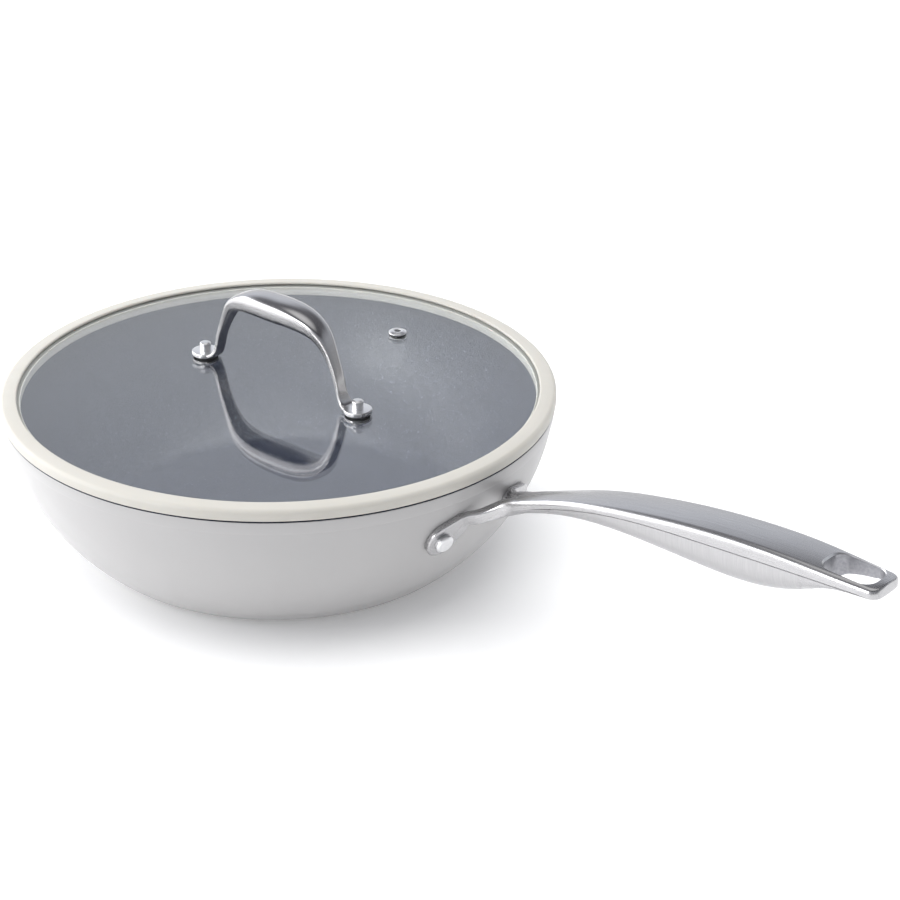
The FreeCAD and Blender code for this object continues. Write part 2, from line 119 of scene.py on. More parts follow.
def traceCorners(bm, corners, closed):
    # outline through (radius, height, rounding) corners, each rounded by its own bevel
    spots = [bm.verts.new((radius, 0, height)) for radius, height, _ in corners]
    pairs = list(zip(spots, spots[1:])) + ([(spots[-1], spots[0])] if closed else [])
    for first, second in pairs:
        bm.edges.new((first, second))
    places = [Vector((radius, 0, height)) for radius, height, _ in corners]
    for index, (_, _, rounding) in enumerate(corners):
        if rounding > 0:
            here = places[index]
            toBefore = places[index - 1] - here
            toAfter = places[(index + 1) % len(places)] - here
            reach = rounding / math.tan(toBefore.angle(toAfter) / 2)
            bmesh.ops.bevel(bm, geom=[spots[index]], offset=reach, offset_type="OFFSET",
                            segments=meshing["cornerSteps"], profile=0.5, affect="VERTICES", material=-1)


def spinOutline(bm, steps):
    bmesh.ops.spin(bm, geom=bm.verts[:] + bm.edges[:], cent=(0, 0, 0), axis=(0, 0, 1),
                   angle=2 * math.pi, steps=steps, use_merge=True)
    bmesh.ops.remove_doubles(bm, verts=bm.verts, dist=meshing["weld"])


def addRod(bm, radius, length, segments, matrix):
    bmesh.ops.create_cone(bm, cap_ends=True, segments=segments, radius1=radius, radius2=radius,
                          depth=length, matrix=matrix)


def turnedPiece(name, corners, finishes, steps=64, x=0.0, y=0.0, matrix=None):
    # corners that start and end on the axis are a solid, any others a ring
    bm = bmesh.new()
    closed = corners[0][0] > 0
    traceCorners(bm, corners, closed)
    spinOutline(bm, steps)
    bmesh.ops.transform(bm, matrix=matrix or Matrix.Translation((x, y, 0)), verts=bm.verts)
    piece = newMesh(name, bm, finishes)
    layGrain(piece, lambda at: at)
    return piece


def washerCorners(inner, outer, low, high, lowRound, highRound):
    # a flat ring, or a disc where inner is 0
    return [(inner, low, 0), (outer, low, lowRound), (outer, high, highRound), (inner, high, 0)]


def rivetCorners(size, low, high):
    # from the tail's end up to the head's top; the shank shows between low and high
    end = low - size["tailHeight"]
    top = high + size["headHeight"]
    return [(0, end, 0), (size["tail"], end, size["tailRound"]), (size["tail"], low, size["edge"]),
            (size["shank"], low, 0), (size["shank"], high, 0), (size["head"], high, size["edge"]),
            (size["head"], top - size["headShoulder"], 0.0005),
            (size["head"] - size["headSlope"], top, size["headRound"]), (0, top, 0)]


def addRing(bm, points):
    spots = bmesh.ops.create_circle(bm, segments=len(points), radius=1.0)["verts"]
    for spot, point in zip(spots, points):
        spot.co = point
    return list(dict.fromkeys(edge for spot in spots for edge in spot.link_edges))


def loftRings(bm, rings):
    last = None
    for points in rings:
        edges = addRing(bm, points)
        if last is None:
            bmesh.ops.holes_fill(bm, edges=edges, sides=0)
        else:
            bmesh.ops.bridge_loops(bm, edges=last + edges)
        last = edges
    bmesh.ops.holes_fill(bm, edges=last, sides=0)


def smoothTable(rows):
    # one smooth curve through each column of a table whose first column is the place
    places = np.array([row[0] for row in rows], float)
    values = np.array([row[1:] for row in rows], float)
    gaps = np.diff(places)
    count = len(rows)
    grid = np.eye(count)
    wanted = np.zeros_like(values)
    for i in range(1, count - 1):
        grid[i, i - 1:i + 2] = gaps[i - 1], 2 * (gaps[i - 1] + gaps[i]), gaps[i]
        slopeAfter = (values[i + 1] - values[i]) / gaps[i]
        slopeBefore = (values[i] - values[i - 1]) / gaps[i - 1]
        wanted[i] = 6 * (slopeAfter - slopeBefore)
    bends = np.linalg.solve(grid, wanted)

    def at(spot):
        i = int(np.clip(np.searchsorted(places, spot) - 1, 0, count - 2))
        after = (spot - places[i]) / gaps[i]
        before = 1 - after
        bend = (before ** 3 - before) * bends[i] + (after ** 3 - after) * bends[i + 1]
        return before * values[i] + after * values[i + 1] + bend * gaps[i] ** 2 / 6

    return at


def superOval(width, depth, topPower, underPower, count):
    # closed section, (across, up) about its middle; a higher power is a squarer side
    points = []
    for step in range(count):
        turn = 2 * math.pi * (step + 0.5) / count
        power = 2 / (topPower if math.sin(turn) > 0 else underPower)
        across = math.copysign(abs(math.cos(turn)) ** power, math.cos(turn)) * width / 2
        up = math.copysign(abs(math.sin(turn)) ** power, math.sin(turn)) * depth / 2
        points.append((across, up))
    return points


# material helpers

class Recipe:
    # a material under construction: its nodes, its shader and the object's own coordinates
    def __init__(self, name, colour, roughness, metallic=0.0):
        self.finish = bpy.data.materials.new(name)
        self.finish.use_nodes = True
        self.tree = self.finish.node_tree
        self.shader = self.tree.nodes["Principled BSDF"]
        self.output = self.tree.nodes["Material Output"]
        self.spot = self.tree.nodes.new("ShaderNodeTexCoord").outputs["Object"]
        self.put("Base Color", (*colour, 1))
        self.put("Roughness", roughness)
        self.put("Metallic", metallic)

    def put(self, socket, value):
        self.shader.inputs[socket].default_value = value

    def link(self, source, target):
        self.tree.links.new(source, target)

    def node(self, kind, **settings):
        made = self.tree.nodes.new("ShaderNode" + kind)
        for key, value in settings.items():
            if hasattr(made, key):
                setattr(made, key, value)
            else:
                made.inputs[key.replace("_", " ")].default_value = value
        return made

    def math(self, operation, first, second=0.0, third=0.0):
        made = self.node("Math", operation=operation)
        for index, value in enumerate((first, second, third)):
            if isinstance(value, (int, float)):
                made.inputs[index].default_value = value
            else:
                self.link(value, made.inputs[index])
        return made.outputs[0]

    def stretched(self, perMetre):
        # one count per metre for all three axes, or one for each
        made = self.node("Mapping")
        made.inputs["Scale"].default_value = perMetre if isinstance(perMetre, tuple) else (perMetre,) * 3
        self.link(self.spot, made.inputs["Vector"])
        return made.outputs["Vector"]

    def noise(self, perMetre, detail=3.0, roughness=0.5):
        made = self.node("TexNoise", Scale=1.0, Detail=detail, Roughness=roughness)
        self.link(self.stretched(perMetre), made.inputs["Vector"])
        return made.outputs["Fac"]

    def ringNoise(self, perMetre, detail=2.0):
        # fine lines round the axis, as a lathe leaves them
        radius = self.node("VectorMath", operation="LENGTH")
        self.link(self.stretched((1, 1, 0)), radius.inputs[0])
        made = self.node("TexNoise", noise_dimensions="1D", Scale=perMetre, Detail=detail)
        self.link(radius.outputs["Value"], made.inputs["W"])
        return made.outputs["Fac"]

    def spread(self, source, low, high, fromLow=0.3, fromHigh=0.7):
        made = self.node("MapRange", From_Min=fromLow, From_Max=fromHigh, To_Min=low, To_Max=high)
        self.link(source, made.inputs["Value"])
        return made.outputs["Result"]

    def tint(self, source, under, over):
        # a colour over another colour or over another node's
        made = self.node("Mix", data_type="RGBA")
        if isinstance(under, tuple):
            made.inputs[6].default_value = (*under, 1)
        else:
            self.link(under, made.inputs[6])
        made.inputs[7].default_value = (*over, 1)
        self.link(source, made.inputs[0])
        return made.outputs[2]

    def clouds(self, perMetre, colour, shade):
        return self.tint(self.spread(self.noise(perMetre, 4), 0, 1), colour, shade)

    def bump(self, height, strength, distance, under=None):
        made = self.node("Bump", Strength=strength, Distance=distance)
        self.link(height, made.inputs["Height"])
        if under is not None:
            self.link(under, made.inputs["Normal"])
        return made.outputs["Normal"]

    def feed(self, socket, source):
        self.link(source, self.shader.inputs[socket])


# finishes

def satinWhiteCoat():
    # counts are per metre; peel and grit are the strength and height of the coat's fine unevenness
    look = {"colour": (0.455, 0.448, 0.447), "shade": (0.43, 0.423, 0.422), "lowDark": (0.31, 0.30, 0.29),
            "gloss": (0.30, 0.40), "clearCoat": 0.12, "clearRoughness": 0.25, "clouds": 9, "smears": 60,
            "lowDarkPatches": (160, 160, 40), "lowDarkFrom": 0.0006, "lowDarkTo": 0.0035, "lowDarkShare": 0.7,
            "peels": 420, "peel": (0.16, 0.00012), "grits": 2600, "grit": (0.10, 0.00003)}
    mix = Recipe("satinWhiteCoat", look["colour"], look["gloss"][0])
    mix.put("Coat Weight", look["clearCoat"])
    mix.put("Coat Roughness", look["clearRoughness"])
    base = mix.clouds(look["clouds"], look["colour"], look["shade"])
    # the coat is darker in patches towards the bottom
    height = mix.node("SeparateXYZ")
    mix.link(mix.spot, height.inputs[0])
    low = mix.spread(height.outputs["Z"], 1, 0, look["lowDarkFrom"], look["lowDarkTo"])
    patches = mix.spread(mix.noise(look["lowDarkPatches"], 5), 0, look["lowDarkShare"], 0.45, 0.7)
    mix.feed("Base Color", mix.tint(mix.math("MULTIPLY", low, patches), base, look["lowDark"]))
    mix.feed("Roughness", mix.spread(mix.noise(look["smears"], 5), *look["gloss"]))
    peel = mix.bump(mix.noise(look["peels"], 3), *look["peel"])
    mix.feed("Normal", mix.bump(mix.noise(look["grits"], 2), *look["grit"], peel))
    return mix.finish


def slateCoat():
    # counts are per metre; flakeFrom is the share of the coat's cells that hold no flake
    look = {"colour": (0.020, 0.024, 0.042), "shade": (0.017, 0.020, 0.036), "flake": (0.16, 0.18, 0.23),
            "flakes": 2000, "flakeFrom": 0.88, "flakeMetal": 0.9, "flakeTilt": 0.45, "plainTilt": 0.05,
            "gloss": (0.36, 0.46), "clouds": 14, "smears": 50, "turnings": 900, "turning": (0.05, 0.00008)}
    mix = Recipe("slateNonStickCoat", look["colour"], look["gloss"][0])
    base = mix.clouds(look["clouds"], look["colour"], look["shade"])
    cells = mix.node("TexVoronoi", Scale=1.0)
    mix.link(mix.stretched(look["flakes"]), cells.inputs["Vector"])
    pick = mix.node("SeparateColor")
    mix.link(cells.outputs["Color"], pick.inputs[0])
    flake = mix.spread(pick.outputs[0], 0, 1, look["flakeFrom"], 1.0)
    mix.feed("Base Color", mix.tint(flake, base, look["flake"]))
    mix.feed("Metallic", mix.math("MULTIPLY", flake, look["flakeMetal"]))
    mix.feed("Roughness", mix.spread(mix.noise(look["smears"], 4), *look["gloss"]))
    # each flake leans its own way, so it glints only when it faces a lamp
    lean = mix.node("VectorMath", operation="SUBTRACT")
    lean.inputs[1].default_value = (0.5, 0.5, 0.5)
    mix.link(cells.outputs["Color"], lean.inputs[0])
    tilt = mix.node("VectorMath", operation="SCALE")
    mix.link(lean.outputs["Vector"], tilt.inputs[0])
    mix.link(mix.math("MULTIPLY_ADD", flake, look["flakeTilt"], look["plainTilt"]), tilt.inputs["Scale"])
    total = mix.node("VectorMath", operation="ADD")
    mix.link(mix.bump(mix.ringNoise(look["turnings"]), *look["turning"]), total.inputs[0])
    mix.link(tilt.outputs["Vector"], total.inputs[1])
    unit = mix.node("VectorMath", operation="NORMALIZE")
    mix.link(total.outputs["Vector"], unit.inputs[0])
    mix.feed("Normal", unit.outputs["Vector"])
    return mix.finish


def turnedSteel():
    look = {"colour": (0.60, 0.60, 0.60), "shade": (0.50, 0.50, 0.51), "gloss": (0.24, 0.42),
            "turnings": 2600, "turning": (0.25, 0.00008), "smears": 40}
    mix = Recipe("turnedInductionSteel", look["colour"], look["gloss"][0], 1.0)
    lines = mix.ringNoise(look["turnings"], 3)
    mix.feed("Base Color", mix.tint(mix.spread(lines, 0, 1), look["colour"], look["shade"]))
    mix.feed("Roughness", mix.spread(mix.noise(look["smears"], 4), *look["gloss"]))
    mix.feed("Normal", mix.bump(lines, *look["turning"]))
    return mix.finish


brushing = {"markShare": 0.6, "smears": (25, 60, 60), "markHeight": 0.00005}


def brushedSteel(name, marks, gloss, depth, colour, shade):
    # marks is the count of brush marks per metre along, across and above the grain
    mix = Recipe(name, colour, gloss[0], 1.0)
    mix.spot = mix.node("Attribute", attribute_name="grain").outputs["Vector"]
    strokes = mix.noise(marks, 4, 0.6)
    mix.feed("Base Color", mix.tint(mix.spread(strokes, 0, 1), colour, shade))
    smear = mix.math("MULTIPLY", mix.noise(brushing["smears"], 4), 1 - brushing["markShare"])
    both = mix.math("MULTIPLY_ADD", strokes, brushing["markShare"], smear)
    mix.feed("Roughness", mix.spread(both, *gloss, 0.35, 0.65))
    mix.feed("Normal", mix.bump(strokes, depth, brushing["markHeight"]))
    return mix.finish


rubber = {"glow": 0.12, "glowReach": (0.004, 0.003, 0.002), "glowScale": 0.5, "clouds": 30, "smears": 120,
          "skins": 1800, "skin": (0.12, 0.00004), "mouldLines": 700, "mouldLine": (0.04, 0.00006)}


def siliconeRubber(name, colour, shade, gloss):
    mix = Recipe(name, colour, gloss[0])
    mix.put("Subsurface Weight", rubber["glow"])
    mix.put("Subsurface Radius", rubber["glowReach"])
    mix.put("Subsurface Scale", rubber["glowScale"])
    mix.feed("Base Color", mix.clouds(rubber["clouds"], colour, shade))
    mix.feed("Roughness", mix.spread(mix.noise(rubber["smears"], 5), *gloss))
    lines = mix.bump(mix.ringNoise(rubber["mouldLines"], 1), *rubber["mouldLine"])
    mix.feed("Normal", mix.bump(mix.noise(rubber["skins"], 3), *rubber["skin"], lines))
    return mix.finish


def temperedGlass():
    # the glass lets light through to what lies under it, tinted by "shadow"
    look = {"colour": (0.985, 0.995, 0.99), "shadow": (0.93, 0.95, 0.945, 1), "bend": 1.5,
            "smears": (14, 55, 30), "smearGloss": (0.0, 0.003), "waves": (9, 6, 9), "wave": (0.003, 0.0001)}
    mix = Recipe("temperedGlass", look["colour"], look["smearGloss"][0])
    mix.put("Transmission Weight", 1.0)
    mix.put("IOR", look["bend"])
    mix.feed("Roughness", mix.spread(mix.noise(look["smears"], 5), *look["smearGloss"], 0.5, 0.8))
    mix.feed("Normal", mix.bump(mix.noise(look["waves"], 0), *look["wave"]))
    clear = mix.node("BsdfTransparent", Color=look["shadow"])
    lamps = mix.node("LightPath")
    share = mix.node("MixShader")
    mix.link(lamps.outputs["Is Shadow Ray"], share.inputs[0])
    mix.link(mix.shader.outputs[0], share.inputs[1])
    mix.link(clear.outputs[0], share.inputs[2])
    mix.link(share.outputs[0], mix.output.inputs["Surface"])
    return mix.finish


satin = ((0.505, 0.50, 0.505), (0.43, 0.425, 0.435))
bright = ((0.80, 0.80, 0.81), (0.72, 0.72, 0.73))
# darker colours for the loop's walls, painted shade in the hole
castShadeTones = ((0.36, 0.36, 0.38), (0.28, 0.28, 0.30))
whiteCoat = satinWhiteCoat()
slate = slateCoat()
plateSteel = turnedSteel()
castSteel = brushedSteel("castingSatinSteel", (55, 2600, 2600), (0.22, 0.32), 0.10, *satin)
bellySteel = brushedSteel("bellySatinSteel", (2600, 90, 90), (0.28, 0.38), 0.12, *satin)
archSteel = brushedSteel("archPolishedSteel", (45, 2200, 2200), (0.18, 0.25), 0.05, *satin)
studSteel = brushedSteel("studSatinSteel", (500, 500, 500), (0.26, 0.36), 0.05, *bright)
loopShadedSteel = brushedSteel("loopCastShadedSteel", (700, 700, 700), (0.38, 0.5), 0.12, *castShadeTones)
creamRubber = siliconeRubber("creamSilicone", (0.55, 0.533, 0.49), (0.53, 0.512, 0.468), (0.42, 0.54))
clearRubber = siliconeRubber("clearSilicone", (0.10, 0.10, 0.105), (0.08, 0.08, 0.085), (0.39, 0.51))
paneGlass = temperedGlass()
print("finishes made")


# pan

pan = {
    "wallThickness": 0.0034, "baseThickness": 0.005, "plateProud": 0.0006, "plateThickness": 0.002,
    "plateGap": 0.0001, "wallArc": 0.114, "wallTopAngle": 9.5, "baseCorner": 0.020, "bandHeight": 0.0075,
    "bandTaper": 0.0008, "bandStep": 0.0004, "rimRound": 0.0009, "steps": 224,
    "cornerSteps": 10, "wallSteps": 34, "rimSteps": 5, "floorRings": 4,
    # how far down the rim's rounding the slate on its top ends, and where the slate on the inside begins
    "rimSlate": 0.4, "insideSlate": 0.6,
    "rivetDrop": 0.0263, "rivetY": 0.0286, "rivetHole": 0.0027, "boreLength": 0.04, "boreFace": 4e-6,
}
rimRadius = panHigh.x
panHeight = panHigh.z
bandBottom = panHeight - pan["bandHeight"]
wallTopRadius = rimRadius - pan["bandTaper"] - pan["bandStep"]
plateRadius = plateHigh.x


def bowlArc(topRadius, inset):
    # centres of the wall's arc and of the base corner's arc, and the angle where they meet
    start = math.radians(pan["wallTopAngle"])
    arc = pan["wallArc"] - inset
    corner = pan["baseCorner"] - inset
    floor = pan["plateProud"] + (pan["baseThickness"] if inset > 0 else 0)
    centre = Vector((topRadius - arc * math.cos(start), 0, bandBottom + arc * math.sin(start)))
    meet = math.asin((centre.z - corner - floor) / (arc - corner))
    cornerCentre = Vector((centre.x + (arc - corner) * math.cos(meet), 0, floor + corner))
    return centre, cornerCentre, start, meet


def wallSpot(y, z, stand):
    # point and outward direction on the bowl's outside, standing off it by a distance
    centre, _, _, _ = bowlArc(wallTopRadius, 0)
    slope = math.asin((centre.z - z) / pan["wallArc"])
    radius = centre.x + pan["wallArc"] * math.cos(slope)
    bearing = math.asin(y / radius)
    ahead = math.cos(bearing)
    aside = math.sin(bearing)
    out = Vector((math.cos(slope) * ahead, math.cos(slope) * aside, -math.sin(slope)))
    return Vector((radius * ahead, radius * aside, z)) + out * stand, out


def traceLine(bm, tip, radius, height):
    spot = bm.verts.new((radius, 0, height))
    bm.edges.new((tip, spot))
    return spot


def traceArc(bm, tip, centre, turn, steps):
    arc = bmesh.ops.spin(bm, geom=[tip], cent=centre, axis=(0, 1, 0), angle=turn, steps=steps)
    return arc["geom_last"][0]


def bowlOutline(bm):
    outer, outerCorner, start, meet = bowlArc(wallTopRadius, 0)
    insideRadius = wallTopRadius - pan["wallThickness"]
    inner, innerCorner, _, innerMeet = bowlArc(insideRadius, pan["wallThickness"])
    quarter = math.pi / 2
    rim = pan["rimRound"]
    step = pan["bandStep"]
    floor = pan["plateProud"] + pan["baseThickness"]
    # a pair is a straight line to a radius and height, a triple an arc's centre, turn and steps
    moves = [
        (plateRadius + pan["plateGap"], pan["plateThickness"]),
        (plateRadius + pan["plateGap"], pan["plateProud"]),
        (outerCorner.x, pan["plateProud"]),
        (outerCorner, meet - quarter, pan["cornerSteps"]),
        (outer, start - meet, pan["wallSteps"]),
        # the band swells out of the wall in a soft step
        (wallTopRadius + step * 0.15, bandBottom + step * 0.8),
        (wallTopRadius + step * 0.6, bandBottom + step * 1.5),
        (wallTopRadius + step, bandBottom + step * 2.4),
        (rimRadius, panHeight - rim),
        (Vector((rimRadius - rim, 0, panHeight - rim)), -quarter, pan["rimSteps"]),
        (insideRadius + rim, panHeight),
        (Vector((insideRadius + rim, 0, panHeight - rim)), -quarter, pan["rimSteps"]),
        (insideRadius, bandBottom),
        (inner, innerMeet - start, pan["wallSteps"]),
        (innerCorner, quarter - innerMeet, pan["cornerSteps"]),
    ]
    for ring in reversed(range(pan["floorRings"])):
        moves.append((innerCorner.x * (ring / pan["floorRings"]), floor))
    tip = bm.verts.new((0, 0, pan["plateThickness"]))
    for move in moves:
        trace = traceLine if len(move) == 2 else traceArc
        tip = trace(bm, tip, *move)


def rivetFrame(side):
    # the rivet's place on the bowl's outside, its own Z square to the wall
    spot, out = wallSpot(side * pan["rivetY"], panHeight - pan["rivetDrop"], 0)
    return Matrix.Translation(spot) @ out.to_track_quat("Z", "Y").to_matrix().to_4x4()


def rivetBore(side):
    # cutter for the hole that a rivet goes through
    bm = bmesh.new()
    addRod(bm, pan["rivetHole"], pan["boreLength"], 48, rivetFrame(side))
    return newMesh("hole", bm, [])


def makePan():
    bm = bmesh.new()
    bowlOutline(bm)
    bmesh.ops.remove_doubles(bm, verts=bm.verts, dist=meshing["weld"] * 10)
    spinOutline(bm, pan["steps"])
    piece = newMesh("panBowl", bm, [whiteCoat, slate])
    for side in (-1, 1):
        combine(piece, rivetBore(side), "DIFFERENCE")
    for face in piece.data.polygons:
        middle = face.center
        inward = face.normal.z > 0.5 or face.normal.xy.dot(middle.xy) < 0
        below = pan["plateThickness"] < middle.z < panHeight - pan["rimRound"] * pan["insideSlate"]
        onRim = middle.z > panHeight - pan["rimRound"] * pan["rimSlate"]
        facing = abs(face.normal.xy.normalized().dot(middle.xy.normalized()))
        inBore = facing < 0.9 and face.area < pan["boreFace"]
        face.material_index = int(onRim or (inward and below and not inBore))
    return place(piece, "pan", "white_coated_aluminium", "pan_shell", crease=30)


def makePlate():
    look = {"rings": 7, "ringWidth": 0.0016, "ringDepth": 0.00035, "ringRound": 0.0001, "rimShare": 0.8,
            "dimple": 0.006, "dimpleDepth": 0.0007, "dimpleSlope": 0.0006, "dimpleRound": 0.0003,
            "edge": 0.0004}
    corners = [(0, look["dimpleDepth"], 0), (look["dimple"] - look["dimpleSlope"], look["dimpleDepth"], 0),
               (look["dimple"], 0, look["dimpleRound"])]
    half = look["ringWidth"] / 2
    for ring in range(look["rings"]):
        middle = plateRadius * (ring + 1) / (look["rings"] + look["rimShare"])
        for across, height in ((-half, 0), (-half * 0.5, look["ringDepth"]),
                               (half * 0.5, look["ringDepth"]), (half, 0)):
            corners.append((middle + across, height, look["ringRound"]))
    corners += [(plateRadius, 0, look["edge"]), (plateRadius, pan["plateThickness"], 0),
                (0, pan["plateThickness"], 0)]
    piece = turnedPiece("inductionPlate", corners, [plateSteel], steps=160)
    return place(piece, "pan", "induction_steel", "induction_plate", crease=25)


makePan()
makePlate()
print("pan made")


# long handle

handle = {
    "length": 0.210, "width": 0.026, "edgeRound": 0.0032, "crown": 0.0005, "bellyFront": 0.030,
    "bellyRear": 0.038, "bellyFullness": 0.86, "seamCut": 0.0006, "seamGap": 0.0002, "seamFrom": 0.170,
    "seamFadeIn": 0.008, "seamFadeOut": 0.006, "lipShare": 0.8, "shellPlay": 0.00001, "underSteps": 26,
    "endCorner": 0.0045, "endRound": 0.0008, "neckTaper": 0.008, "neckTaperDepth": 0.3,
    "ringGap": 0.002, "endRingGap": 0.0015, "roundSteps": 20,
    "holeLength": 0.026, "endBar": 0.005, "sideBar": 0.0030, "holeCorner": 0.006, "holeChamfer": 0.0008,
    # share of length, then top line, share of width, seam line and underside; heights are from the pan's top
    "stations": (
        (0.000, -0.0064, 0.65, -0.0114, -0.0153),
        (0.105, 0.0021, 0.64, -0.0030, -0.0072),
        (0.224, 0.0103, 0.785, 0.0055, -0.0017),
        (0.367, 0.0170, 0.925, 0.0119, -0.0003),
        (0.557, 0.0227, 0.985, 0.0155, -0.0015),
        (0.724, 0.0250, 1.0, 0.0175, 0.0007),
        (0.819, 0.0250, 0.985, 0.0183, 0.0073),
        (0.905, 0.0243, 0.925, 0.0186, 0.0152),
        (0.965, 0.0238, 0.865, 0.0187, 0.0172),
        (1.029, 0.0232, 0.80, 0.0187, 0.0175),
    ),
}
handleEnd = castingHigh.x
handleNeck = handleEnd - handle["length"]
bellyFront = handleNeck + handle["bellyFront"]
bellyRear = handleEnd - handle["bellyRear"]
handleLine = smoothTable(handle["stations"])


def handleStation(x):
    top, share, seam, under = handleLine((x - handleNeck) / handle["length"])
    return panHeight + top, share * handle["width"] / 2, panHeight + seam, panHeight + under


def underSide(width, seam, under, cut):
    # from the groove on the +Y side round underneath to the groove on the -Y side
    lip = handle["seamGap"]
    inGroove = seam - lip * handle["lipShare"]
    points = [(width - cut, inGroove)]
    for step in range(handle["underSteps"] + 1):
        turn = math.pi * step / handle["underSteps"]
        drop = (seam - lip - under) * max(math.sin(turn), 0) ** handle["bellyFullness"]
        points.append((width * math.cos(turn), seam - lip - drop))
    return points + [(-width + cut, inGroove)]


def castingSection(width, top, seam, under, flat, cut):
    # closed section: up the -Y side, over the top, down the +Y side, then flat or round underneath;
    # cut is the depth of the groove along the seam
    rounding = min(handle["edgeRound"], 0.6 * (top - seam), 0.9 * width)
    shoulder = top - handle["crown"]
    lip = handle["seamGap"]
    half = [(-width + cut, seam + handle["shellPlay"]), (-width + cut, seam + lip * handle["lipShare"]),
            (-width, seam + lip), (-width, (seam + shoulder - rounding) / 2)]
    for step in range(9):
        turn = math.pi / 2 * step / 8
        half.append((-width + rounding * (1 - math.cos(turn)), shoulder - rounding * (1 - math.sin(turn))))
    for step in range(1, 10):
        y = (width - rounding) * (step / 10 - 1)
        half.append((y, top - handle["crown"] * (y / (width - rounding)) ** 2))
    upper = half + [(0, top)] + [(-y, z) for y, z in reversed(half)]
    if not flat:
        return upper + underSide(width, seam, under, cut)
    flatSteps = handle["underSteps"] + 4  # gives as many points as the round underside has
    return upper + [((width - cut) * (1 - 2 * step / flatSteps), seam) for step in range(1, flatSteps)]


def bellySection(width, seam, under, cut):
    face = seam - 4 * handle["shellPlay"]
    upper = [((width - cut) * (step / 4 - 1), face) for step in range(9)]
    return upper + underSide(width, seam, under, cut)


def seamCut(x):
    # the seam line fades in behind the neck and out before the end
    rise = min(max((x - handle["seamFrom"]) / handle["seamFadeIn"], 0), 1)
    fall = min(max((handleEnd - handle["endCorner"] - x) / handle["seamFadeOut"], 0), 1)
    return handle["seamCut"] * min(rise, fall)


def quarterRound(radius, distance):
    # how far a quarter round has drawn in at a distance from the face it ends in
    into = max(radius - distance, 0)
    return radius - math.sqrt(max(radius ** 2 - into ** 2, 0))


def castingRing(x, flat):
    # the end's two upright corners are quarter rounds in plan; the whole section draws in a little
    # at the end's edge and where the neck runs into the fork
    top, width, seam, under = handleStation(x)
    width -= quarterRound(handle["endCorner"], handleEnd - x)
    pinch = quarterRound(handle["endRound"], handleEnd - x)
    pinch += quarterRound(handle["neckTaper"], x - handleNeck) * handle["neckTaperDepth"]
    points = castingSection(width - pinch, top - pinch, seam, under + pinch, flat, seamCut(x))
    return [Vector((x, y, z)) for y, z in points]


def spaced(first, last, gap):
    count = max(int(math.ceil((last - first) / gap)), 1)
    return [first + (last - first) * step / count for step in range(count + 1)]


def castingBody():
    # rings lie closer together in the neck and round the end's corners; over the belly they are flat below
    steps = handle["roundSteps"]
    play = 2 * handle["shellPlay"]
    neckEnd = handleNeck + handle["neckTaper"]
    straightEnd = handleEnd - handle["endCorner"]
    neck = [handleNeck + handle["neckTaper"] * (step / steps) ** 2 for step in range(steps + 1)]
    neck += spaced(neckEnd, bellyFront, handle["ringGap"])[1:]
    end = spaced(bellyRear, straightEnd, handle["endRingGap"])
    for step in range(1, steps + 1):
        end.append(straightEnd + handle["endCorner"] * math.sin(math.pi / 2 * step / steps))
    rings = [castingRing(x, False) for x in neck]
    rings += [castingRing(x, True) for x in spaced(bellyFront + play, bellyRear - play, handle["ringGap"])]
    rings += [castingRing(x, False) for x in end]
    bm = bmesh.new()
    loftRings(bm, rings)
    return newMesh("handleCasting", bm, [castSteel])


def bellyBody():
    bm = bmesh.new()
    rings = []
    play = 3 * handle["shellPlay"]
    for x in spaced(bellyFront + play, bellyRear - play, handle["ringGap"]):
        _, width, seam, under = handleStation(x)
        rings.append([Vector((x, y, z)) for y, z in bellySection(width, seam, under, seamCut(x))])
    loftRings(bm, rings)
    return newMesh("handleBelly", bm, [bellySteel])


def loopHole():
    # the hanging hole's front, rear and middle along the handle, and half its width
    rear = handleEnd - handle["endBar"]
    front = rear - handle["holeLength"]
    middle = (front + rear) / 2
    return front, rear, middle, handleStation(middle)[1] - handle["sideBar"]


def holeCutter():
    # rounded rectangle that follows the handle's top and underside, flared at both mouths
    front, rear, middle, half = loopHole()
    flare = handle["holeChamfer"]

    def ring(grow, heightAt, offset):
        halfLength = (rear - front) / 2 + grow
        halfWidth = half + grow
        corner = handle["holeCorner"] + grow
        points = []
        for step in range(64):
            turn = 2 * math.pi * (step + 0.5) / 64
            across = math.copysign(halfLength - corner, math.cos(turn)) + corner * math.cos(turn)
            along = math.copysign(halfWidth - corner, math.sin(turn)) + corner * math.sin(turn)
            points.append((middle + across, along))
        return [Vector((x, y, heightAt(x) + offset)) for x, y in points]

    def topAt(x):
        return handleStation(x)[0]

    def underAt(x):
        return min(handleStation(x)[3], handleStation(x)[2])

    # growth and height of each ring, in chamfers from the underside and then from the top
    courses = ((3, underAt, -3), (1, underAt, -0.2), (0, underAt, 1),
               (0, topAt, -1.2), (1, topAt, -0.1), (3, topAt, 2))
    bm = bmesh.new()
    loftRings(bm, [ring(grow * flare, heightAt, rise * flare) for grow, heightAt, rise in courses])
    return newMesh("loopCutter", bm, [])


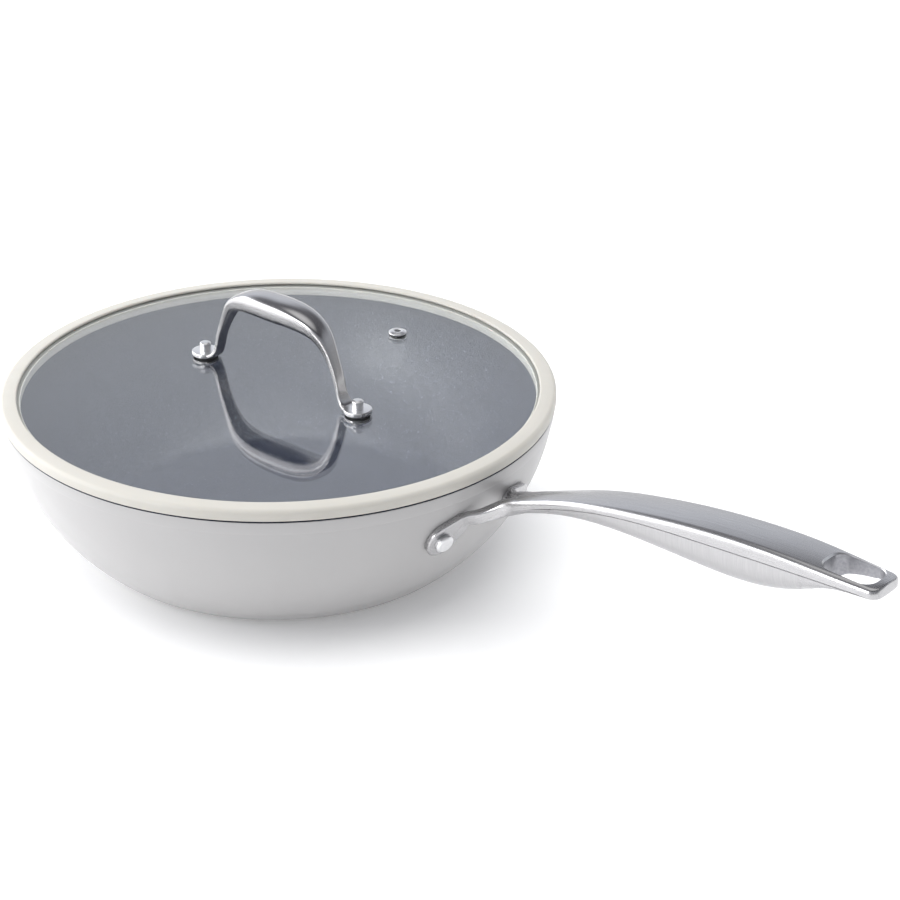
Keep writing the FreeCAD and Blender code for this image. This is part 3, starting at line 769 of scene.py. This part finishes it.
fork = {
    "gap": 0.00015, "thickness": 0.003, "edgeRound": 0.0008, "tipY": 0.0280, "tipDrop": 0.0259,
    "tipRadius": 0.0089, "rootY": 0.0195, "rootDrop": 0.0207, "rootRadius": 0.0060, "cut": 0.0016,
    # leg from inside the plate to inside the handle: share of the way, then side distance, drop from the
    # pan's top, distance off the wall, height, thickness, turn to upright, upper and lower outer rounding
    "leg": (
        (0.00, 0.0205, 0.0203, 0.00160, 0.0066, 0.0028, 0.0, 0.0004, 0.0004),
        (0.06, 0.0186, 0.0190, 0.00165, 0.0070, 0.0029, 0.03, 0.0005, 0.0005),
        (0.11, 0.0170, 0.0181, 0.00235, 0.0072, 0.0031, 0.12, 0.0007, 0.0006),
        (0.27, 0.0133, 0.0166, 0.00590, 0.0071, 0.0040, 0.45, 0.0012, 0.0009),
        (0.39, 0.0107, 0.0153, 0.00860, 0.0070, 0.0047, 0.70, 0.0017, 0.0012),
        (0.53, 0.0076, 0.0131, 0.01200, 0.0076, 0.0055, 0.92, 0.0023, 0.0019),
        (0.67, 0.0053, 0.0107, 0.01600, 0.0083, 0.0058, 1.0, 0.0028, 0.0029),
        (0.83, 0.0045, 0.0081, 0.02160, 0.0079, 0.0060, 1.0, 0.0029, 0.0033),
        (1.00, 0.0039, 0.0058, 0.02730, 0.0064, 0.0058, 1.0, 0.0026, 0.0033),
    ),
    "legRound": 0.0009, "legRings": 40, "strokeSteps": 90, "strokeGap": 0.0004, "plateStrokes": 70,
}


def roundedBox(height, thickness, upper, lower, other):
    # closed section as (up, outward); the two outer corners have their own rounding
    points = []
    corners = ((1, 1, upper), (-1, 1, lower), (-1, -1, other), (1, -1, other))
    for index, (up, out, rounding) in enumerate(corners):
        for step in range(7):
            turn = math.pi / 2 * (1 - index - step / 6)
            points.append((up * (height / 2 - rounding) + rounding * math.sin(turn),
                           out * (thickness / 2 - rounding) + rounding * math.cos(turn)))
    return points


def forkPlate(side):
    # flat tongue round two circles, bevelled, cut into a fine net and laid on the bowl
    tip = Vector((side * fork["tipY"], panHeight - fork["tipDrop"]))
    root = Vector((side * fork["rootY"], panHeight - fork["rootDrop"]))
    bm = bmesh.new()
    for spot, radius in ((tip, fork["tipRadius"]), (root, fork["rootRadius"])):
        centre = Matrix.Translation((spot.x, spot.y, fork["thickness"] / 2))
        addRod(bm, radius, fork["thickness"], 72, centre)
    hull = bmesh.ops.convex_hull(bm, input=bm.verts, use_existing_faces=False)
    keep = {part for part in hull["geom"] if isinstance(part, bmesh.types.BMFace)}
    bmesh.ops.delete(bm, geom=[face for face in bm.faces if face not in keep], context="FACES")
    bmesh.ops.dissolve_limit(bm, angle_limit=math.radians(1), verts=bm.verts, edges=bm.edges)
    brim = [edge for edge in bm.edges
            if all(spot.co.z > fork["thickness"] * 0.9 for spot in edge.verts) and len(edge.link_faces) == 2]
    bmesh.ops.bevel(bm, geom=brim, offset=fork["edgeRound"], offset_type="OFFSET", segments=4, profile=0.5,
                    affect="EDGES", material=-1, clamp_overlap=True)
    for axis in (0, 1):
        normal = Vector((1 - axis, axis, 0))
        reach = [spot.co[axis] for spot in bm.verts]
        cutAt = min(reach) + fork["cut"]
        while cutAt < max(reach):
            bmesh.ops.bisect_plane(bm, geom=bm.verts[:] + bm.edges[:] + bm.faces[:], dist=meshing["weld"],
                                   plane_co=normal * cutAt, plane_no=normal)
            cutAt += fork["cut"]
    for spot in bm.verts:
        spot.co = wallSpot(spot.co.x, spot.co.y, fork["gap"] + spot.co.z)[0]
    return newMesh("forkPlate", bm, [])


forkLine = smoothTable(fork["leg"])


def legMiddle(side, share):
    # the same height all the way out from the wall
    y, drop, stand = forkLine(share)[:3]
    spot, out = wallSpot(side * y, panHeight - drop, 0)
    level = Vector((out.x, out.y, 0))
    return spot + level.normalized() * (stand / level.length), out


def legFrame(side, share):
    # middle of the leg's section, then the directions ahead, up and outward
    centre, wallOut = legMiddle(side, share)
    ahead = (legMiddle(side, share + 0.01)[0] - legMiddle(side, share - 0.01)[0]).normalized()
    sideways = ahead.cross(Vector((0, 0, -side))).normalized()
    out = wallOut.lerp(sideways, min(max(forkLine(share)[5], 0), 1))
    out = (out - ahead * out.dot(ahead)).normalized()
    return centre, ahead, out.cross(ahead) * -side, out


def forkLeg(side):
    bm = bmesh.new()
    rings = []
    for step in range(fork["legRings"] + 1):
        share = step / fork["legRings"]
        centre, _, up, out = legFrame(side, share)
        height, thickness, _, upper, lower = forkLine(share)[3:]
        other = min(fork["legRound"], thickness * 0.3)
        rings.append([centre + up * u + out * v
                      for u, v in roundedBox(height, thickness, upper, lower, other)])
    loftRings(bm, rings)
    return newMesh("forkLeg", bm, [])


def forkGrain(side):
    # the strokes run down the leg and on over the plate, and meet the handle's own at the neck
    onLeg = [legFrame(side, share) for share in np.linspace(0.02, 1, fork["strokeSteps"])]
    first, ahead, up, out = onLeg[0]
    gap = fork["strokeGap"]
    onPlate = [(first - ahead * (gap * step), ahead, up, out) for step in range(fork["plateStrokes"], 0, -1)]
    frames = onPlate + onLeg
    travelled = [0.0]
    for before, after in zip(frames, frames[1:]):
        travelled.append(travelled[-1] + (after[0] - before[0]).length)
    end = frames[-1][0]
    start = end.x - travelled[-1]
    rise = end.z - handleStation(end.x)[0]

    def follow(at):
        index = min(range(len(frames)), key=lambda which: (frames[which][0] - at).length_squared)
        centre, _, up, out = frames[index]
        return start + travelled[index], end.y + side * (at - centre).dot(out), rise + (at - centre).dot(up)

    return follow


def finishLoop(casting):
    # the loop's walls are rougher, as cast, and their darker colour is painted shade in the hole; its mouths'
    # chamfers take the brighter stud steel, a painted highlight
    casting.data.materials.append(loopShadedSteel)
    casting.data.materials.append(studSteel)
    front, rear, middle, half = loopHole()
    spare = handle["holeChamfer"] * 1.1
    for face in casting.data.polygons:
        spot = face.center
        inward = face.normal.xy.dot(spot.xy - Vector((middle, 0))) < 0
        tilt = abs(face.normal.z)
        if inward and front - spare < spot.x < rear + spare and abs(spot.y) < half + spare:
            face.material_index = 1 if tilt < 0.3 else (2 if tilt < 0.9 else 0)


def makeHandle():
    casting = castingBody()
    combine(casting, holeCutter(), "DIFFERENCE")
    for side in (-1, 1):
        combine(casting, forkLeg(side), "UNION")
        combine(casting, forkPlate(side), "UNION")
        combine(casting, rivetBore(side), "DIFFERENCE")
    dropSlivers(casting)
    onFork = {side: forkGrain(side) for side in (-1, 1)}

    def strokes(at):
        if at.x < handleNeck - handle["shellPlay"]:
            return onFork[1 if at.y > 0 else -1](at)
        return at.x, at.y, at.z - handleStation(at.x)[0]

    layGrain(casting, strokes)
    finishLoop(casting)
    place(casting, "pan", "satin_steel", "handle_casting", crease=35)
    belly = bellyBody()
    layGrain(belly, lambda at: at)
    place(belly, "pan", "satin_steel", "handle_belly_shell", crease=40)


def makeHandleRivets():
    look = {"shank": 0.0026, "head": 0.005, "headHeight": 0.0027, "headSlope": 0.0010, "headShoulder": 0.0008,
            "headRound": 0.0005, "edge": 0.0002, "tail": 0.0055, "tailHeight": 0.002, "tailRound": 0.0009,
            "tailGap": 0.00035, "sink": 0.00005}
    inside = -pan["wallThickness"] - look["tailGap"]
    corners = rivetCorners(look, inside, fork["gap"] + fork["thickness"] - look["sink"])
    for name, side in (("Right", -1), ("Left", 1)):
        piece = turnedPiece("handleRivet" + name, corners, [studSteel], steps=64, matrix=rivetFrame(side))
        place(piece, "pan", "rivet_steel", "handle_rivet_" + name.lower(), crease=35)


makeHandle()
makeHandleRivets()
print("handle made")


# lid

lid = {
    "ringFloor": 0.0014, "lipRise": 0.0008, "skirtDepth": 0.0035, "skirtGap": 0.0008, "skirtInset": 0.0016,
    "skirtSlope": 0.001, "skirtKnee": 0.0022, "seatInset": 0.0035, "slotGap": 0.0001, "ringWidth": 0.0088,
    "ringInset": 0.00001, "undercut": 0.0002, "fixingHole": 0.0021,
}
glassBottom = glassLow.z
glassTop = glassHigh.z


def makeRing():
    outer = ringHigh.x - lid["ringInset"]
    inner = outer - lid["ringWidth"]
    bottom = glassBottom - lid["ringFloor"]
    lip = ringHigh.z
    top = lip - lid["lipRise"]
    panInside = wallTopRadius - pan["wallThickness"]
    skirtOut = panInside - lid["skirtGap"]
    skirtIn = inner - lid["skirtInset"]
    skirtLow = bottom - lid["skirtDepth"]
    slot = glassHigh.x + lid["slotGap"]
    seat = rimRadius - lid["seatInset"]
    corners = [(outer, bottom + lid["undercut"], 0.0007), (outer, top, 0.0024), (inner, lip, 0.0009),
               (inner, glassTop, 0), (slot, glassTop, 0), (slot, glassBottom, 0),
               (skirtIn, glassBottom, 0.0004), (skirtIn, skirtLow, 0.0007),
               (skirtOut - lid["skirtSlope"], skirtLow, 0.0007),
               (skirtOut, skirtLow + lid["skirtKnee"], 0.0008), (skirtOut, bottom, 0), (seat, bottom, 0.0003)]
    piece = turnedPiece("lidSiliconeRim", corners, [creamRubber], steps=224)
    place(piece, "lid", "cream_silicone", "lid_silicone_rim", crease=35)


def makeGlass():
    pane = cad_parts["lid_glass"]
    pane.data.materials.clear()
    pane.data.materials.append(paneGlass)


arch = {
    "footX": 0.0555, "footRadius": 0.0074, "footThickness": 0.0022, "gripDepth": 0.0120,
    "rings": 150, "around": 48, "grainSteps": 400, "boreLength": 0.012,
    # how far in from the foot's centre, share of the rise, width, depth, squareness above and below
    "half": (
        (-0.0020, 0.0, 0.0100, 0.0018, 5.0, 5.0),
        (0.0030, 0.0, 0.0108, 0.0020, 4.6, 4.6),
        (0.0072, 0.012, 0.0092, 0.0023, 4.0, 4.0),
        (0.0099, 0.09, 0.0074, 0.0026, 4.0, 5.0),
        (0.0128, 0.31, 0.0068, 0.0030, 4.0, 5.0),
        (0.0176, 0.60, 0.0076, 0.0042, 3.6, 5.0),
        (0.0245, 0.845, 0.0115, 0.0066, 3.2, 5.0),
        (0.0350, 0.965, 0.0155, 0.0100, 2.8, 4.2),
        (0.0555, 1.0, 0.0180, 0.0120, 2.7, 3.8),
    ),
}
footBottom = archLow.z
footTop = footBottom + arch["footThickness"]


def archStations():
    low = footBottom + arch["footThickness"] / 2
    rise = archHigh.z - arch["gripDepth"] / 2 - low
    half = [(arch["footX"] - inward, low + rise * share, *rest) for inward, share, *rest in arch["half"]]
    rows = half + [(-x, *rest) for x, *rest in reversed(half[:-1])]
    travelled = 0.0
    table = []
    for index, row in enumerate(rows):
        if index:
            travelled += math.hypot(row[0] - rows[index - 1][0], row[1] - rows[index - 1][1])
        table.append((travelled, *row))
    return table


def archFoot(side):
    corners = washerCorners(0, arch["footRadius"], footBottom, footTop, 0.0003, 0.0005)
    return turnedPiece("archFoot", corners, [], steps=72, x=side * arch["footX"])


def makeArch():
    table = archStations()
    line = smoothTable(table)
    total = table[-1][0]
    rings = []
    for step in range(arch["rings"] + 1):
        spot = total * step / arch["rings"]
        x, z, width, depth, above, below = line(spot)
        ahead, behind = line(min(spot + 1e-4, total)), line(max(spot - 1e-4, 0))
        tangent = Vector((ahead[0] - behind[0], 0, ahead[1] - behind[1])).normalized()
        outward = Vector((tangent.z, 0, -tangent.x))
        rings.append([Vector((x, across, z)) + outward * up
                      for across, up in superOval(width, depth, above, below, arch["around"])])
    bm = bmesh.new()
    loftRings(bm, rings)
    piece = newMesh("lidArch", bm, [archSteel])
    for side in (-1, 1):
        combine(piece, archFoot(side), "UNION")
        bm = bmesh.new()
        middle = Matrix.Translation((side * arch["footX"], 0, footBottom + arch["footThickness"] / 2))
        addRod(bm, lid["fixingHole"], arch["boreLength"], 40, middle)
        combine(piece, newMesh("hole", bm, []), "DIFFERENCE")
    dropSlivers(piece)
    course = [(spot, *line(spot)[:2]) for spot in np.linspace(0, total, arch["grainSteps"])]

    def alongArch(at):
        spot, x, z = min(course, key=lambda entry: (entry[1] - at.x) ** 2 + (entry[2] - at.z) ** 2)
        return spot, at.y, math.hypot(at.x - x, at.z - z)

    layGrain(piece, alongArch)
    # the feet take the brighter stud steel, which paints a highlight on them
    piece.data.materials.append(studSteel)
    for face in piece.data.polygons:
        onFoot = abs(abs(face.center.x) - arch["footX"]) < arch["footRadius"] * 0.8
        face.material_index = int(onFoot and face.center.z < footTop + 0.0004)
    place(piece, "lid", "polished_steel", "lid_handle", crease=38)


fixing = {
    "gasket": 0.0066, "sleeveWall": 0.0013, "sleeveFlange": 0.0066, "sleeveThick": 0.0012,
    "washer": 0.0060, "washerThick": 0.0010, "shank": 0.0020, "head": 0.0030, "headHeight": 0.0048,
    "headSlope": 0.0012, "headShoulder": 0.0006, "headRound": 0.0004, "edge": 0.0001, "tail": 0.0038,
    "tailHeight": 0.0015, "tailRound": 0.0007,
}


def makeFixings():
    hole = lid["fixingHole"]
    tube = hole + fixing["sleeveWall"]
    flange = glassBottom - fixing["sleeveThick"]
    low = flange - fixing["washerThick"]
    sleeve = [(hole, flange, 0), (fixing["sleeveFlange"], flange, 0.0004),
              (fixing["sleeveFlange"], glassBottom, 0), (tube, glassBottom, 0), (tube, glassTop, 0),
              (hole, glassTop, 0)]
    kinds = (
        ("gasket", clearRubber, "clear_silicone",
         washerCorners(hole, fixing["gasket"], glassTop, footBottom, 0.00025, 0.00025)),
        ("sleeve", clearRubber, "clear_silicone", sleeve),
        ("washer", studSteel, "polished_steel",
         washerCorners(hole, fixing["washer"], low, flange, 0.0003, 0.0002)),
        ("rivet", studSteel, "polished_steel", rivetCorners(fixing, low, footTop)),
    )
    for end, side in (("front", 1), ("rear", -1)):
        for kind, finish, slotName, corners in kinds:
            piece = turnedPiece("lid" + kind.capitalize() + end.capitalize(), corners, [finish],
                                steps=56, x=side * arch["footX"])
            place(piece, "lid", slotName, "lid_" + kind + "_" + end, crease=35)


def makeVent():
    look = {"bore": 0.0018, "tubeWall": 0.0007, "flange": 0.0050, "flangeHeight": 0.0015, "gasket": 0.0046,
            "gasketThick": 0.0005, "ring": 0.0048, "ringThick": 0.0010, "curl": 0.0038, "curlHeight": 0.0006,
            "play": 0.0001}
    middle = (ventLow + ventHigh) / 2
    tube = look["bore"] + look["tubeWall"]
    hole = tube + look["play"]
    seat = glassTop + look["gasketThick"]
    low = glassBottom - look["ringThick"]
    bottom = low - look["curlHeight"]
    shoulder = seat + look["flangeHeight"] * 0.6
    top = seat + look["flangeHeight"]
    pieces = (
        ("ventFerrule", "vent_ferrule", studSteel, "polished_steel",
         [(look["bore"], bottom, 0.00025), (look["curl"], bottom, 0.00025), (look["curl"], low, 0),
          (tube, low, 0), (tube, seat, 0), (look["flange"], seat, 0.0003), (look["flange"], shoulder, 0.0004),
          (look["flange"] * 0.6, top, 0.0006), (look["bore"], top, 0.0003)]),
        ("ventGasket", "vent_gasket", clearRubber, "clear_silicone",
         washerCorners(hole, look["gasket"], glassTop, seat, 0.00015, 0.00015)),
        ("ventBackingRing", "vent_backing_ring", studSteel, "polished_steel",
         washerCorners(hole, look["ring"], low, glassBottom, 0.0003, 0.0002)),
    )
    for name, node, finish, slotName, corners in pieces:
        piece = turnedPiece(name, corners, [finish], steps=56, x=middle.x, y=middle.y)
        place(piece, "lid", slotName, node, crease=35)


makeRing()
makeGlass()
makeArch()
makeFixings()
makeVent()
print("lid made")


# studio

studio = {
    "floor": (0.93, 0.93, 0.93), "floorGloss": (0.55, 0.7), "floorSize": 30.0, "floorDrop": 0.0002,
    "floorGlow": 0.17,
    # sky brightness by height, 0 at the horizon and 1 overhead, and how much brighter it is to the left
    "sky": ((0.0, (0.82, 0.815, 0.81)), (0.42, (0.92, 0.96, 1.04)), (0.56, (0.68, 0.70, 0.75)),
            (0.68, (0.20, 0.20, 0.22)), (0.83, (0.17, 0.17, 0.19)), (0.92, (1.0, 1.0, 1.0)),
            (1.0, (1.3, 1.3, 1.3))),
    "left": (-0.97, 0.10, 0.0), "leftGain": 0.48, "skyPower": 0.80,
    "camera": (0.81066, -0.81066, 0.61561), "turn": (63.6677, -0.3632, 40.7058), "lens": 96.026,
    # name, place, what it faces, size, power, whether surfaces mirror it, whether it lights them
    "lamps": (
        ("leftKey", (-1.65, -1.05, 0.75), (0, 0, 0.05), (2.8, 1.4), 42, True, True),
        ("spark", (-0.20, -2.10, 0.90), (0.07, 0.0, 0.03), (0.6, 0.6), 22, True, False),
        ("overhead", (0, 0, 2.2), (0, 0, 0), (2.5, 2.5), 50, False, True),
    ),
}


def paleFloor():
    mix = Recipe("paleFloor", studio["floor"], studio["floorGloss"][0])
    mix.put("Emission Color", (1, 1, 1, 1))
    mix.put("Emission Strength", studio["floorGlow"])
    mix.feed("Roughness", mix.spread(mix.noise(30), *studio["floorGloss"]))
    bm = bmesh.new()
    bmesh.ops.create_grid(bm, x_segments=4, y_segments=4, size=studio["floorSize"] / 2,
                          matrix=Matrix.Translation((0, 0, -studio["floorDrop"])))
    floor = newMesh("floor", bm, [mix.finish])
    if floor.data.polygons[0].normal.z < 0:
        floor.data.flip_normals()


def softbox(name, spot, aim, size, power, mirrored, lights):
    lamp = bpy.data.lights.new(name, "AREA")
    lamp.shape = "RECTANGLE"
    lamp.size, lamp.size_y = size
    lamp.energy = power
    holder = bpy.data.objects.new(name, lamp)
    holder.location = spot
    holder.rotation_euler = (Vector(aim) - Vector(spot)).to_track_quat("-Z", "Y").to_euler()
    holder.visible_camera = False
    holder.visible_glossy = mirrored
    holder.visible_diffuse = lights
    bpy.context.scene.collection.objects.link(holder)


def studioWorld():
    world = bpy.data.worlds.new("studio")
    bpy.context.scene.world = world
    world.use_nodes = True
    tree = world.node_tree
    ground = tree.nodes["Background"]
    where = tree.nodes.new("ShaderNodeTexCoord")
    parts = tree.nodes.new("ShaderNodeSeparateXYZ")
    ramp = tree.nodes.new("ShaderNodeValToRGB")
    tree.links.new(where.outputs["Generated"], parts.inputs[0])
    tree.links.new(parts.outputs["Z"], ramp.inputs[0])
    tree.links.new(ramp.outputs[0], ground.inputs["Color"])
    elements = ramp.color_ramp.elements
    elements.remove(elements[1])
    elements[0].position = 0
    for position, colour in studio["sky"]:
        element = elements.new(position) if position else elements[0]
        element.color = (*colour, 1)
    side = tree.nodes.new("ShaderNodeVectorMath")
    side.operation = "DOT_PRODUCT"
    side.inputs[1].default_value = studio["left"]
    tree.links.new(where.outputs["Generated"], side.inputs[0])
    gain = tree.nodes.new("ShaderNodeMath")
    gain.operation = "MULTIPLY_ADD"
    gain.inputs[1].default_value = studio["skyPower"] * studio["leftGain"]
    gain.inputs[2].default_value = studio["skyPower"]
    tree.links.new(side.outputs["Value"], gain.inputs[0])
    tree.links.new(gain.outputs[0], ground.inputs["Strength"])


def studioCamera():
    data = bpy.data.cameras.new("view")
    data.lens = studio["lens"]
    data.sensor_width = 36
    holder = bpy.data.objects.new("view", data)
    holder.location = studio["camera"]
    holder.rotation_euler = [math.radians(value) for value in studio["turn"]]
    bpy.context.scene.collection.objects.link(holder)
    bpy.context.scene.camera = holder


paleFloor()
studioWorld()
for lamp in studio["lamps"]:
    softbox(*lamp)
studioCamera()
bpy.context.scene.view_settings.view_transform = "Standard"
print("studio made")
